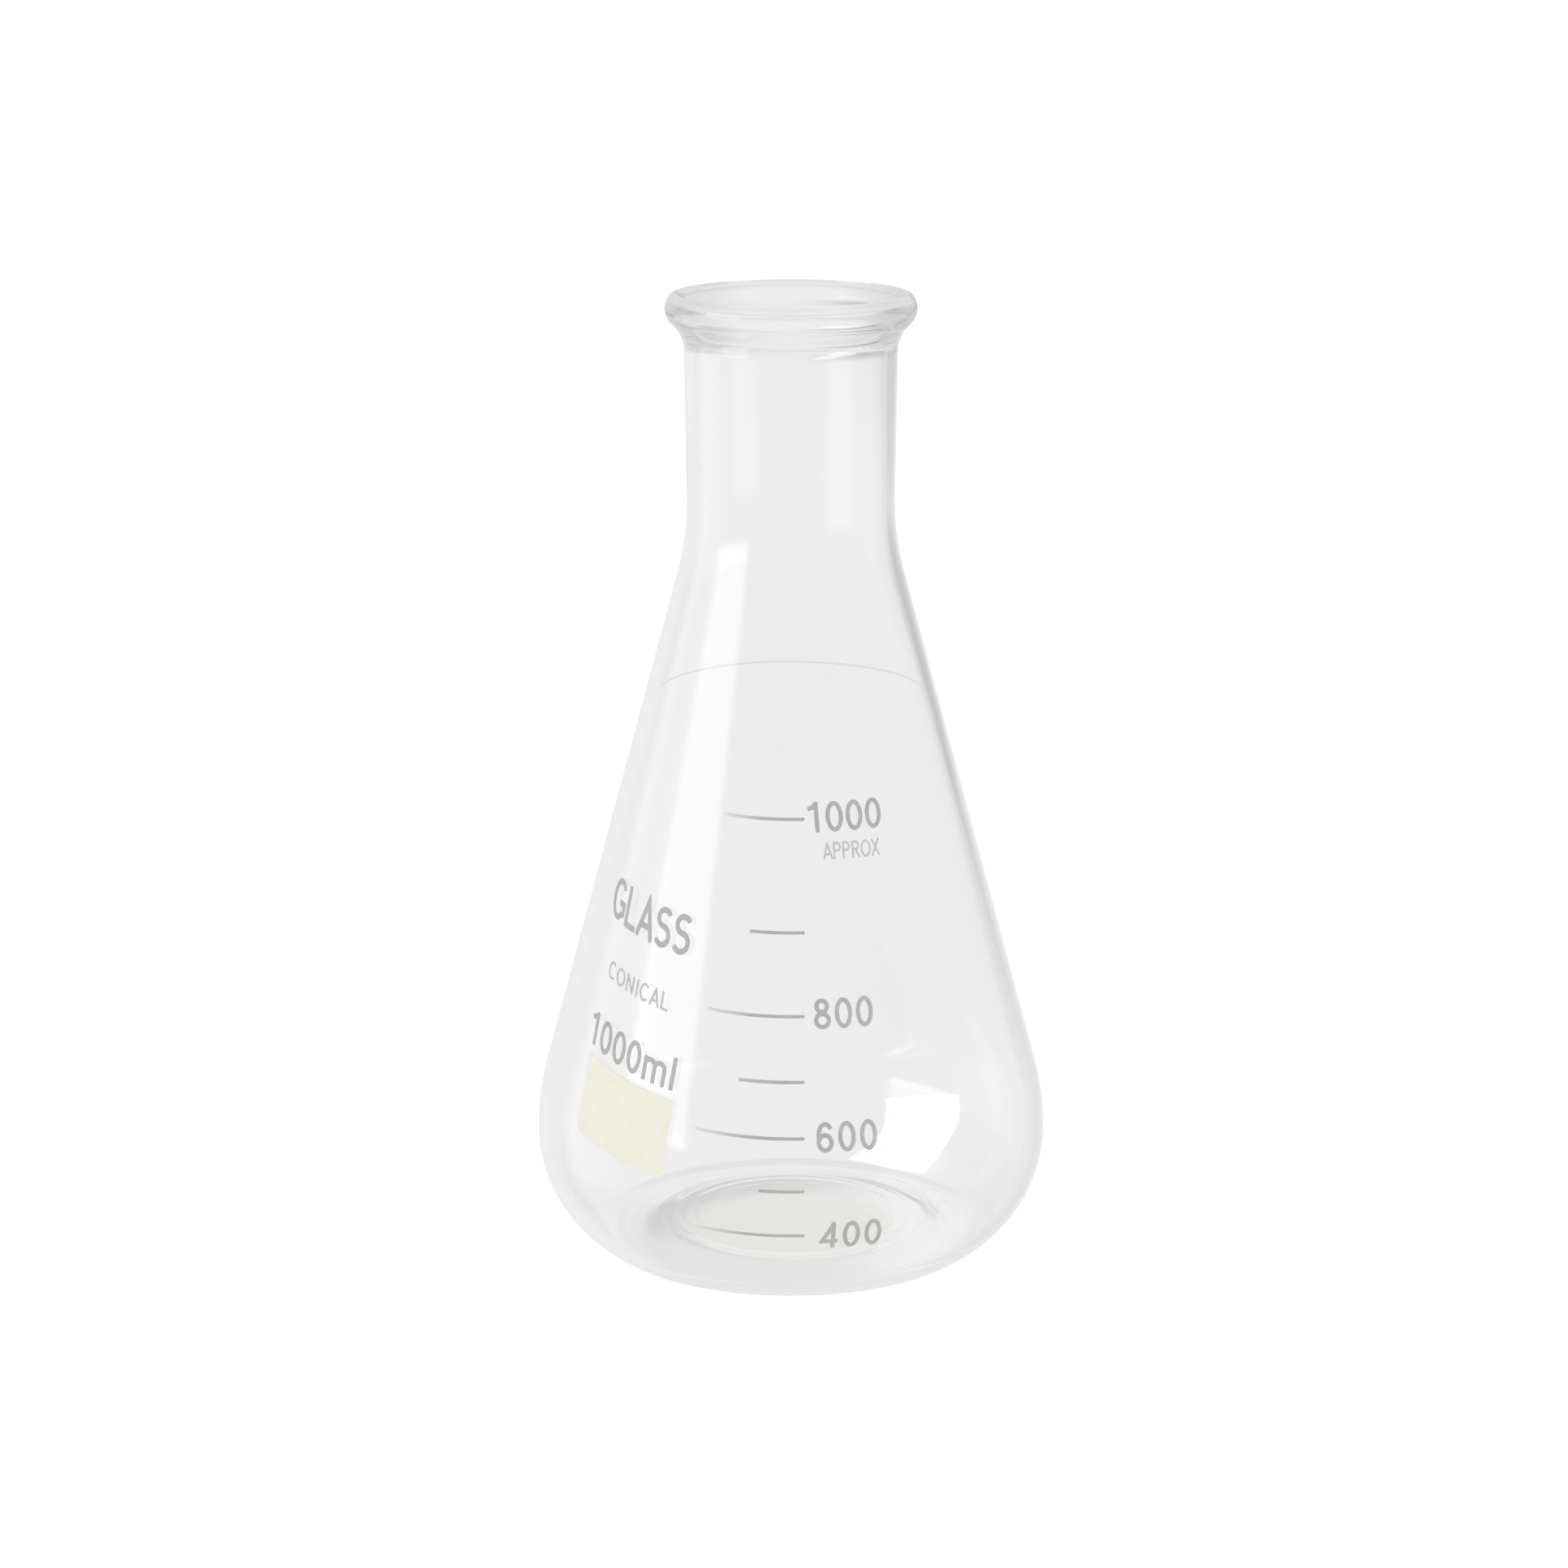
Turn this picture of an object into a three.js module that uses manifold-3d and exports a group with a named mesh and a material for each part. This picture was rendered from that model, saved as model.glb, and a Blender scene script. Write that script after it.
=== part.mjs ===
// A 1000 ml conical (Erlenmeyer) flask: one blown piece of clear glass, with its graduation lines,
// numerals, lettering and marking panel fired onto the outside as thin enamel.
// Millimetres. +Z runs up the flask's axis, the base stands on z = 0, and the scale faces -Y.
import * as THREE from "three";
import { TessellateModifier } from "three/addons/modifiers/TessellateModifier.js";
import { mergeVertices } from "three/addons/utils/BufferGeometryUtils.js";
import Module from "manifold-3d";

const wasm = await Module();
wasm.setup();
const rad = THREE.MathUtils.degToRad;

// Outside of the glass
const HEIGHT = 236.5;
const BODY_RADIUS = 63;
const WIDEST_Z = 29;
const HEEL_ARC = 33; // below the widest line
const BOW_ARC = 62; // from the widest line into the cone
const CONE_ANGLE = rad(15.08); // the cone's side against the axis
const SHOULDER_ARC = 69.4; // the hollow curve from the cone into the neck
const NECK_RADIUS = 25.1; // at the foot of the neck
const NECK_TOP_RADIUS = 25.6;
const FLARE_Z = 222.5; // the neck begins to open into the rim here
const FLARE_ARC = 9.2;
const FLARE_ANGLE = rad(48); // the underside of the rim against the axis
const RIM_RADIUS = 30.2;
const CREST_ANGLE = rad(42); // the bead's outer round meets the crest's tighter one here

// Inside of the glass
const CONE_WALL = 1.9;
const NECK_WALL = 2.2;
const MOUTH_WALL = 2.5;
const MOUTH_ARC = 10; // the bore opens into the mouth along this curve
const MOUTH_ANGLE = rad(40);
const FLOOR = 3; // glass under the lowest part of the inside
const CORNER_ARC = 8; // inside, between the floor and the heel

// Base: a ring that stands on the table, and a pushed-up middle reached by a short ramp
const FOOT_ARC = 4;
const PUSH_UP = 2.6;
const RAMP_INNER = 30;
const RAMP_OUTER = 40;

// Enamel
const GAP = 0.05; // keeps each deposit clear of the glass
const ENAMEL = 0.15; // thickness
const LINE_WIDTH = 0.75; // graduation lines
const LINE_END = 3.2; // right-hand ends of the graduation lines, along the glass from the front
const PRINT_CLIMB = 0.0022; // left of the front, the print climbs by this times the square of the distance
const BOLD_PEN = 0.145; // pen width as a share of the letter height
const SMALL_PEN = 0.13;

const ROUND_SEGMENTS = 56; // facets around the flask
const FINEST_EDGE = 2.4; // longest straight edge of an enamel piece before it is bent round the glass

const GLASS = new THREE.MeshStandardMaterial({ color: 0xf2f5f3, roughness: 0.03, metalness: 0 });
GLASS.transparent = true;
GLASS.opacity = 0.3;
const GREY = new THREE.MeshStandardMaterial({ color: 0x9b9c9a, roughness: 0.55, metalness: 0 });
const PALE_GREY = new THREE.MeshStandardMaterial({ color: 0xbcbdbb, roughness: 0.55, metalness: 0 });
const CREAM = new THREE.MeshStandardMaterial({ color: 0xefeeda, roughness: 0.8, metalness: 0 });

const group = new THREE.Group();

function addMesh(name, geometry, material) {
  const mesh = new THREE.Mesh(geometry, material);
  mesh.name = name;
  group.add(mesh);
}

// ---- Glass ----

// Points (radius, height) along an arc of the profile, both ends included; angles in radians.
function arc(r, z, radius, from, to, steps) {
  return Array.from({ length: steps + 1 }, (_, i) => {
    const angle = from + ((to - from) * i) / steps;
    return new THREE.Vector2(r + radius * Math.cos(angle), z + radius * Math.sin(angle));
  });
}

// A small round that is tangent to a level line at height z and to the inside of the heel's arc.
function levelRound(z, radius, heelArc, steps) {
  const reach = heelArc - radius;
  const drop = WIDEST_Z - z - radius;
  const angle = -Math.asin(drop / reach);
  const r = BODY_RADIUS - HEEL_ARC + reach * Math.cos(angle);
  return { angle, points: arc(r, z + radius, radius, -Math.PI / 2, angle, steps) };
}

// The pushed-up middle of the base: level inside the ramp, and falling smoothly to 0 at its foot.
function pushUp(r) {
  const share = THREE.MathUtils.clamp((r - RAMP_INNER) / (RAMP_OUTER - RAMP_INNER), 0, 1);
  return (PUSH_UP * (1 + Math.cos(Math.PI * share))) / 2;
}

function ramp(z) {
  const steps = 4;
  const points = [new THREE.Vector2(0, z + PUSH_UP)];
  for (let i = 0; i <= steps; i++) {
    const r = RAMP_INNER + ((RAMP_OUTER - RAMP_INNER) * i) / steps;
    points.push(new THREE.Vector2(r, z + pushUp(r)));
  }
  return points;
}

const heelR = BODY_RADIUS - HEEL_ARC;
const bowR = BODY_RADIUS - BOW_ARC;
const bowEndR = bowR + BOW_ARC * Math.cos(CONE_ANGLE);
const bowEndZ = WIDEST_Z + BOW_ARC * Math.sin(CONE_ANGLE);
const shoulderR = NECK_RADIUS + SHOULDER_ARC;
const coneTopR = shoulderR - SHOULDER_ARC * Math.cos(CONE_ANGLE);
const neckZ = bowEndZ + (bowEndR - coneTopR) / Math.tan(CONE_ANGLE) + SHOULDER_ARC * Math.sin(CONE_ANGLE);

function outsideProfile() {
  const foot = levelRound(0, FOOT_ARC, HEEL_ARC, 2);
  return [
    ...ramp(0),
    ...foot.points,
    ...arc(heelR, WIDEST_Z, HEEL_ARC, foot.angle, 0, 7),
    ...arc(bowR, WIDEST_Z, BOW_ARC, 0, CONE_ANGLE, 3),
    ...arc(shoulderR, neckZ, SHOULDER_ARC, Math.PI + CONE_ANGLE, Math.PI, 3),
  ];
}

// The rim: the neck flares out, turns over a round bead and drops back into the mouth.
function rimProfile() {
  const underR = NECK_TOP_RADIUS + FLARE_ARC * (1 - Math.cos(FLARE_ANGLE));
  const underZ = FLARE_Z + FLARE_ARC * Math.sin(FLARE_ANGLE);
  const bead = (RIM_RADIUS - underR) / (1 - Math.cos(FLARE_ANGLE));
  const beadR = RIM_RADIUS - bead;
  const beadZ = underZ + bead * Math.sin(FLARE_ANGLE);
  const rise = Math.sin(CREST_ANGLE);
  const crest = (HEIGHT - beadZ - bead * rise) / (1 - rise);
  const crestR = beadR + (bead - crest) * Math.cos(CREST_ANGLE);
  const crestZ = HEIGHT - crest;
  const boreR = NECK_TOP_RADIUS - MOUTH_WALL;
  const lipR = crestR - crest * Math.cos(MOUTH_ANGLE);
  const lipZ = crestZ + crest * Math.sin(MOUTH_ANGLE);
  const mouthTopR = boreR + MOUTH_ARC * (1 - Math.cos(MOUTH_ANGLE));
  const mouthTopZ = lipZ - (lipR - mouthTopR) / Math.tan(MOUTH_ANGLE);
  const mouthZ = mouthTopZ - MOUTH_ARC * Math.sin(MOUTH_ANGLE);
  const flareR = NECK_TOP_RADIUS + FLARE_ARC;
  const mouthR = boreR + MOUTH_ARC;
  return [
    ...arc(flareR, FLARE_Z, FLARE_ARC, Math.PI, Math.PI - FLARE_ANGLE, 4),
    ...arc(beadR, beadZ, bead, -FLARE_ANGLE, CREST_ANGLE, 6),
    ...arc(crestR, crestZ, crest, CREST_ANGLE, Math.PI - MOUTH_ANGLE, 5),
    ...arc(mouthR, mouthZ, MOUTH_ARC, Math.PI - MOUTH_ANGLE, Math.PI, 4),
  ];
}

function insideProfile() {
  const heelArc = HEEL_ARC - CONE_WALL;
  const corner = levelRound(FLOOR, CORNER_ARC, heelArc, 3);
  return [
    ...arc(shoulderR, neckZ, SHOULDER_ARC + NECK_WALL, Math.PI, Math.PI + CONE_ANGLE, 3),
    ...arc(bowR, WIDEST_Z, BOW_ARC - CONE_WALL, CONE_ANGLE, 0, 3),
    ...arc(heelR, WIDEST_Z, heelArc, 0, corner.angle, 6),
    ...corner.points.reverse(),
    ...ramp(FLOOR).reverse(),
  ];
}

function glassGeometry() {
  const points = [...outsideProfile(), ...rimProfile(), ...insideProfile()];
  const profile = points.filter((p, i) => i === 0 || p.distanceTo(points[i - 1]) > GAP);
  return new THREE.LatheGeometry(profile, ROUND_SEGMENTS).rotateX(Math.PI / 2);
}

// ---- Enamel on the surface ----

// Outside radius of the heel, bow or cone at a height.
function outsideRadius(z) {
  const rise = z - WIDEST_Z;
  if (rise < 0) return heelR + Math.sqrt(HEEL_ARC ** 2 - rise ** 2);
  if (z < bowEndZ) return bowR + Math.sqrt(BOW_ARC ** 2 - rise ** 2);
  return bowEndR - (z - bowEndZ) * Math.tan(CONE_ANGLE);
}

// Bends a flat piece (x along the line of print, y up, z out) round the glass. The piece's origin
// goes to the given angle, on the line of print that crosses the front at height z.
function bend(flat, angle, z) {
  const place = flat.getAttribute("position");
  const start = angle * outsideRadius(z);
  const step = 0.01;
  for (let i = 0; i < place.count; i++) {
    const left = Math.min(start + place.getX(i), 0);
    const height = z + place.getY(i) + PRINT_CLIMB * left ** 2;
    const radius = outsideRadius(height);
    const lean = (outsideRadius(height + step) - outsideRadius(height - step)) / (2 * step);
    const out = (GAP + place.getZ(i)) / Math.hypot(1, lean);
    const turn = angle + place.getX(i) / radius;
    place.setXYZ(i, (radius + out) * Math.sin(turn), -(radius + out) * Math.cos(turn), height - out * lean);
  }
  return flat;
}

// A bar or panel that reaches from one distance to another along the glass, right of the front.
function band(from, to, z, height) {
  const across = Math.ceil((to - from) / FINEST_EDGE);
  const up = Math.ceil(height / FINEST_EDGE);
  const box = new THREE.BoxGeometry(to - from, height, ENAMEL, across, up, 1);
  box.deleteAttribute("normal").deleteAttribute("uv");
  box.translate(0, 0, ENAMEL / 2);
  return bend(mergeVertices(box), (from + to) / 2 / outsideRadius(z), z);
}

// ---- Lettering ----
// Each letter is a list of pen strokes one unit high, drawn along centre lines; half is half the
// pen's width, and a stroke that is closed is a ring.

const ROUND_STEP = rad(22.5);

function line(...numbers) {
  const points = [];
  for (let i = 0; i < numbers.length; i += 2) points.push(new THREE.Vector2(numbers[i], numbers[i + 1]));
  return { points };
}

function bow(x, y, width, height, fromDegrees, toDegrees) {
  const sweep = rad(toDegrees - fromDegrees);
  const steps = Math.ceil(Math.abs(sweep) / ROUND_STEP);
  const points = Array.from({ length: steps + 1 }, (_, i) => {
    const angle = rad(fromDegrees) + (sweep * i) / steps;
    return new THREE.Vector2(x + width * Math.cos(angle), y + height * Math.sin(angle));
  });
  return { points };
}

function ring(x, y, width, height) {
  return { points: bow(x, y, width, height, 0, 360).points.slice(0, -1), closed: true };
}

function joined(...strokes) {
  return { points: strokes.flatMap((stroke) => stroke.points) };
}

const LETTERS = {
  0: { advance: 0.68, strokes: (half) => [ring(0, 0.5, 0.3 - half, 0.5 - half)] },
  1: { advance: 0.62, strokes: () => [line(0.06, 0, 0.06, 1), line(-0.22, 0.76, -0.06, 0.82, 0.06, 0.94)] },
  4: { advance: 0.68, strokes: () => [line(0.13, 0, 0.13, 1), line(0.13, 0.93, -0.24, 0.27, 0.29, 0.27)] },
  6: {
    advance: 0.68,
    strokes: (half) => [
      ring(0, 0.32, 0.29 - half, 0.32 - half),
      bow(0.02, 0.5, 0.31 - half, 0.5 - half, 38, 195),
    ],
  },
  8: {
    advance: 0.68,
    strokes: (half) => [
      ring(0, 0.745, 0.25 - half, 0.255 - half),
      ring(0, 0.285, 0.29 - half, 0.285 - half),
    ],
  },
  m: {
    advance: 1.04,
    strokes: (half) => [
      line(-0.38, 0, -0.38, 0.74),
      joined(bow(-0.19, 0.5, 0.19, 0.24 - half, 170, 0), line(0, 0)),
      joined(bow(0.19, 0.5, 0.19, 0.24 - half, 170, 0), line(0.38, 0)),
    ],
  },
  l: { advance: 0.34, strokes: () => [line(0, 0, 0, 1)] },
  A: { advance: 0.74, strokes: () => [line(-0.32, 0, 0, 0.93, 0.32, 0), line(-0.2, 0.32, 0.2, 0.32)] },
  C: { advance: 0.78, strokes: (half) => [bow(0, 0.5, 0.37 - half, 0.5 - half, 45, 315)] },
  G: {
    advance: 0.84,
    strokes: (half) => [
      bow(0, 0.5, 0.38 - half, 0.5 - half, 42, 318),
      line(0.06, 0.44, 0.38 - half, 0.44, 0.38 - half, 0.14),
    ],
  },
  I: { advance: 0.36, strokes: () => [line(0, 0, 0, 1)] },
  L: { advance: 0.66, strokes: (half) => [line(-0.22, 1, -0.22, half, 0.26, half)] },
  N: {
    advance: 0.8,
    strokes: () => [line(-0.26, 0, -0.26, 1), line(0.26, 0, 0.26, 1), line(-0.26, 0.95, 0.26, 0.05)],
  },
  O: { advance: 0.84, strokes: (half) => [ring(0, 0.5, 0.4 - half, 0.5 - half)] },
  P: { advance: 0.7, strokes: bowlStrokes },
  R: { advance: 0.74, strokes: (half) => [...bowlStrokes(half), line(0, 0.46, 0.28, 0)] },
  S: {
    advance: 0.72,
    strokes: (half) => {
      const upper = (0.48 - half) / 2;
      const lower = (0.52 - half) / 2;
      return [
        joined(
          bow(0, 1 - half - upper, 0.3 - half, upper, 30, 270),
          bow(0, half + lower, 0.32 - half, lower, 67.5, -150),
        ),
      ];
    },
  },
  X: { advance: 0.74, strokes: () => [line(-0.3, 0, 0.3, 1), line(-0.3, 1, 0.3, 0)] },
};

// The stem and bowl that P and R share.
function bowlStrokes(half) {
  const depth = (0.56 - 2 * half) / 2;
  const bowl = bow(0, 1 - half - depth, 0.28 - half, depth, 90, -90);
  return [line(-0.24, 0, -0.24, 1), joined(line(-0.24, 1 - half), bowl, line(-0.24, 1 - half - 2 * depth))];
}

// The line parallel to a stroke at a distance to its left, with mitred corners.
function parallel({ points, closed }, distance) {
  return points.map((point, i) => {
    const before = points[i - 1] ?? (closed ? points.at(-1) : null);
    const after = points[i + 1] ?? (closed ? points[0] : null);
    const ahead = (after ?? point).clone().sub(after ? point : before).normalize();
    const behind = before ? point.clone().sub(before).normalize() : ahead;
    const along = ahead.clone().add(behind).normalize();
    const reach = distance / along.dot(ahead);
    return new THREE.Vector2(point.x - along.y * reach, point.y + along.x * reach);
  });
}

function strokeShape(stroke, half) {
  if (!stroke.closed) {
    return new THREE.Shape([...parallel(stroke, -half), ...parallel(stroke, half).reverse()]);
  }
  const shape = new THREE.Shape(parallel(stroke, -half));
  shape.holes.push(new THREE.Path(parallel(stroke, half)));
  return shape;
}

function solid(geometry) {
  geometry.deleteAttribute("normal").deleteAttribute("uv");
  const merged = mergeVertices(geometry, 1e-4);
  const vertProperties = merged.getAttribute("position").array;
  const triVerts = new Uint32Array(merged.index.array);
  return new wasm.Manifold(new wasm.Mesh({ numProp: 3, vertProperties, triVerts }));
}

// One letter as a flat closed piece, its foot on y = 0, with no long edges left to bend.
function letterGeometry(letter, height, pen) {
  const half = pen / 2;
  const solids = LETTERS[letter].strokes(half).map((stroke) => {
    const slab = new THREE.ExtrudeGeometry(strokeShape(stroke, half), { depth: ENAMEL, bevelEnabled: false });
    return solid(slab.scale(height, height, 1));
  });
  const { vertProperties, triVerts } = solids.reduce((whole, part) => whole.add(part)).getMesh();
  const flat = new THREE.BufferGeometry();
  flat.setAttribute("position", new THREE.BufferAttribute(vertProperties, 3));
  flat.setIndex(new THREE.BufferAttribute(triVerts, 1));
  return mergeVertices(new TessellateModifier(FINEST_EDGE, 8).modify(flat), 1e-3);
}

// A line of print centred on an angle. Its letters are numbered from the left.
function print(name, text, { angle, z, height, width, pen, material }) {
  const letters = [...text];
  const advances = letters.map((letter) => LETTERS[letter].advance * height);
  const spread = width / advances.reduce((sum, advance) => sum + advance);
  let start = -width / 2;
  letters.forEach((letter, i) => {
    const cell = advances[i] * spread;
    const flat = letterGeometry(letter, height, pen).scale(Math.min(spread, 1), 1, 1);
    addMesh(`${name}_${i + 1}`, bend(flat.translate(start + cell / 2, 0, 0), angle, z), material);
    start += cell;
  });
}

// ---- The flask ----

addMesh("glass_flask", glassGeometry(), GLASS);

// Graduation lines all end level on the right, and have different lengths.
const GRADUATIONS = [
  { volume: 1000, z: 117.4, length: 19.5 },
  { volume: 900, z: 91.6, length: 13 },
  { volume: 800, z: 72.6, length: 23.5 },
  { volume: 700, z: 57.7, length: 15.6 },
  { volume: 600, z: 44.9, length: 26.4 },
  { volume: 500, z: 32.5, length: 10.8 },
  { volume: 400, z: 21.3, length: 27.8 },
];
for (const { volume, z, length } of GRADUATIONS) {
  addMesh(`graduation_line_${volume}`, band(LINE_END - length, LINE_END, z, LINE_WIDTH), GREY);
}

const NUMERALS = { height: 7, pen: BOLD_PEN, material: GREY };
print("numeral_1000_digit", "1000", { ...NUMERALS, angle: rad(18), z: 114.3, width: 19.2 });
print("numeral_800_digit", "800", { ...NUMERALS, angle: rad(13.4), z: 69.6, width: 15.4 });
print("numeral_600_digit", "600", { ...NUMERALS, angle: rad(12.5), z: 41.6, width: 15.8 });
print("numeral_400_digit", "400", { ...NUMERALS, angle: rad(13.3), z: 17.7, width: 15.9 });

const SMALL = { pen: SMALL_PEN, material: PALE_GREY };
print("approx_word_letter", "APPROX", { ...SMALL, height: 4, angle: rad(19.4), z: 108, width: 14.4 });

// The label stands to the left of the scale.
const LABEL = { pen: BOLD_PEN, material: GREY };
print("glass_word_letter", "GLASS", { ...LABEL, height: 9.4, angle: rad(-45.6), z: 82.9, width: 29.4 });
print("shape_word_letter", "CONICAL", { ...SMALL, height: 4.2, angle: rad(-44.6), z: 69.1, width: 22.5 });
print("capacity_character", "1000ml", { ...LABEL, height: 7.6, angle: rad(-43.4), z: 51.7, width: 31.6 });
addMesh("marking_panel", band(-60.6, -31, 40.1, 18.6), CREAM);

export default group;
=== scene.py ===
"""Looks of a 1000 ml conical flask: fine blown glass, fired enamel print and a plain white studio.

Shapes are in millimetres in the CAD frame; meshes, materials and the studio are in metres.
"""

import math

import bpy
import numpy as np
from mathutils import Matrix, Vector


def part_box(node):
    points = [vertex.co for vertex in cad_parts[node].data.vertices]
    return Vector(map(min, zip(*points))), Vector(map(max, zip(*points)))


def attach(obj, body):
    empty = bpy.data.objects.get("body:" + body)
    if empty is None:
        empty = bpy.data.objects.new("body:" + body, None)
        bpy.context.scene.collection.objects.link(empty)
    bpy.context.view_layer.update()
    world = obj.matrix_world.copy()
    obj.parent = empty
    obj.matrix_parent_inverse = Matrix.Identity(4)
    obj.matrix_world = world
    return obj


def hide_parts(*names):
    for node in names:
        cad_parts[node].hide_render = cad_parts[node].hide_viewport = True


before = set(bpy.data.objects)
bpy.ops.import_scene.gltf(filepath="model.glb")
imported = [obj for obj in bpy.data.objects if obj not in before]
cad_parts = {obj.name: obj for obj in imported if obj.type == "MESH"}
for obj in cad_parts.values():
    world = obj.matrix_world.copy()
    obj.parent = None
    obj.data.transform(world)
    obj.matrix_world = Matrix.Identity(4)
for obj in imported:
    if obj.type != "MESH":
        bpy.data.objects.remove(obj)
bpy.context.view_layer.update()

MM = 0.001
glass_low, glass_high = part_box("glass_flask")

# Outside of the glass
HEIGHT = glass_high.z / MM
BODY_RADIUS = (glass_high.x - glass_low.x) / 2 / MM
WIDEST_Z = 29.0
HEEL_ARC = 33.0
BOW_ARC = 62.0
CONE_ANGLE = math.radians(15.08)
SHOULDER_ARC = 69.4
NECK_RADIUS = 25.1
NECK_TOP_RADIUS = 25.6
FLARE_Z = HEIGHT - 14.0
FLARE_ARC = 9.2
FLARE_ANGLE = math.radians(48)
RIM_RADIUS = 30.2
CREST_ANGLE = math.radians(42)

# Inside of the glass
CONE_WALL = 1.9
NECK_WALL = 2.2
MOUTH_WALL = 2.5
MOUTH_ARC = 10.0
MOUTH_ANGLE = math.radians(40)
FLOOR = 3.0
CORNER_ARC = 8.0

# Base
FOOT_ARC = 4.0
PUSH_UP = 2.6
RAMP_INNER = 30.0
RAMP_OUTER = 40.0

# Enamel: the printed layer starts a gap off the glass and ends a full enamel thickness off it
GAP = 0.02
ENAMEL = 0.18
LINE_WIDTH = 0.75
LINE_END = 3.2
PRINT_CLIMB = 0.0022
BOLD_PEN = 0.145
SMALL_PEN = 0.13
NUMERAL_HEIGHT = 7
EDGE_HEIGHT = 0.3
CROWN_WIDTH = 0.22
RAGGED_EDGE = 0.012
SOFT_CORNER = 0.9

# Height and length of each graduation line
GRADUATIONS = {
    1000: (117.4, 19.5),
    900: (91.6, 13),
    800: (72.6, 23.5),
    700: (57.7, 15.6),
    600: (44.9, 26.4),
    500: (32.5, 10.8),
    400: (21.3, 27.8),
}

# Turn from the front in degrees, height of the foot of the digits, and width
NUMERALS = {
    "1000": (18, 114.3, 19.2),
    "800": (13.4, 69.6, 15.4),
    "600": (12.5, 41.6, 15.8),
    "400": (13.3, 17.7, 15.9),
}

# Height of the letters, then the line's turn, height and width as above
APPROX_PLACE = (4, 19.4, 108, 14.4)
GLASS_PLACE = (9.4, -45.6, 82.9, 29.4)
CONICAL_PLACE = (4.2, -44.6, 69.1, 22.5)
CAPACITY_PLACE = (7.6, -43.4, 51.7, 31.6)

# Start and end along the glass from the front, the height of its middle, and its own height
PANEL_PLACE = (-60.6, -31, 40.1, 18.6)

# Unevenness of the blown glass, complete from the calm radius outwards and the calm height upwards,
# and the faint ridge inside the back of the cone
OUTER_WAVE = 0.012
INNER_WAVE = 0.05
CALM_RADIUS = 12
CALM_HEIGHT = 6
RIDGE = 0.1
RIDGE_WIDTH = 0.7
MARK_Z = 139.8
MARK_RADIUS = 34.4
MARK_WIDTH = 0.45

# Fineness: cells and steps in millimetres, and the step round a letter's curves in degrees
ROUND_SEGMENTS = 320
ARC_TURN = math.radians(2.5)
LONGEST_STEP = 1.6
SHORTEST_STEP = 0.02
LETTER_CELL = 0.1
PANEL_CELL = 0.3
ROUND_STEP = 5

# Looks of the glass. A pair of lengths says where an effect begins and where it is complete, in metres.
WHITE = (1, 1, 1, 1)
GLASS_IOR = 1.473
CLEAR_TINT = (0.97, 0.975, 0.972, 1)
BODY_TINT = (0.8, 0.81, 0.8, 1)
BODY_DENSITY = 2.0
FOOT_SCUFFED = (0.0006, 0.0001)
SCUFF_SCALE = 900
SCUFF_RANGE = (0.35, 0.65)
SCUFF_ROUGHNESS = 0.08
SMEAR_SCALE = 28
SMEAR_RANGE = (0.45, 0.8)
SMEAR_ROUGHNESS = 0.012
WAVE_SCALE = 45
WAVE_STRENGTH = 0.06
WAVE_DEPTH = 0.0004
RIPPLE_PITCH = 0.0032
RIPPLE_SHARE = 1.2
RIPPLE_START = (0.02, 0.026)
RIPPLE_TOP = (0.009, 0.006)
RIM_SIDES = (0.01, 0.024)
RIM_BOTTOM = (0.226, 0.231)
# Painted shade at the rim's left and right, as the camera sees them, on the glass and on its trapped glow
RIM_PAINTED_SHADE = -0.065
# Past this many bounces the glass glows a painted grey light
TRAPPED_DEPTH = 9
TRAPPED_PAINTED_LIGHT = 0.86
TRAPPED_PAINTED_SHADE = -0.4
MARK_TINT = (0.3, 0.3, 0.3, 1)
MARK_ENDS = (-0.008, 0.016)
MARK_STRENGTH = 0.25

# Looks of the enamel. Its painted highlight, which pales the graduation lines to the left of the front,
# begins and is complete at turns from the front, in degrees.
ENAMEL_IOR = 1.5
HIGHLIGHT_TURNS = (-6, -27)
DARK_GREY = (0.41, 0.41, 0.402)
MID_GREY = (0.5, 0.5, 0.49)
PALE_GREY = (0.62, 0.62, 0.61)
# The grey that the painted highlight pales the graduation lines to
PAINTED_HIGHLIGHT_GREY = (0.78, 0.78, 0.77)
THICK_CREAM = (0.86, 0.845, 0.715)
THIN_CREAM = (0.9, 0.885, 0.775)
# Roughness, scale of the grain, and depth of the grain in metres
FINE_ENAMEL = (0.3, 2600, 0.00002)
PALE_ENAMEL = (0.32, 2600, 0.00002)
MATT_ENAMEL = (0.72, 3600, 0.00006)
ROUGHNESS_SPREAD = 0.12
GRAIN_STRENGTH = 0.5
CLOUD_SCALE = 260
CLOUD_RANGE = (0.3, 0.7)
CLOUD_THINNING = 0.55
PORE_RANGE = (0.62, 0.8)
PORE_THINNING = 0.45

# Studio: each soft box has its left, right, low and high edge and its blur in degrees, and its strength.
# A negative strength darkens the room.
PAPER_WHITE = 1.05
ROOM = 0.76
SOFT_LIGHT = 1.0
SOFT_BOXES = (
    (-70, 15, -50, 25, 8, 0.1),
    (18, 45, -8, 8, 4, -0.2),
    (-130, -94, 0.5, 24, 2, 1.2),
    (-128, -86, 4, 24, 7, 0.4),
    (-132, -96, 0.5, 7, 2, 0.6),
    (-130, -95, -25, 3.5, 6, 0.2),
    (-95, -60, -25, 8, 6, 0.4),
    (106, 140, -13, -4, 6, 0.75),
    (-60, -4, 2, 30, 5, -0.2),
    (-15, 15, -46, -32, 6, -0.1),
    (3, 20, -5, 12, 4, -0.35),
)
CARD_LIGHT = 4.9
CARD_TURN = math.radians(115)
CARD_DISTANCE = 0.3
# Corners of the card: along it towards the camera, and up
CARD_OUTLINE = ((0.13, 0.1), (-0.065, 0.07), (0.055, -0.015), (0.27, 0.045))
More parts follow.
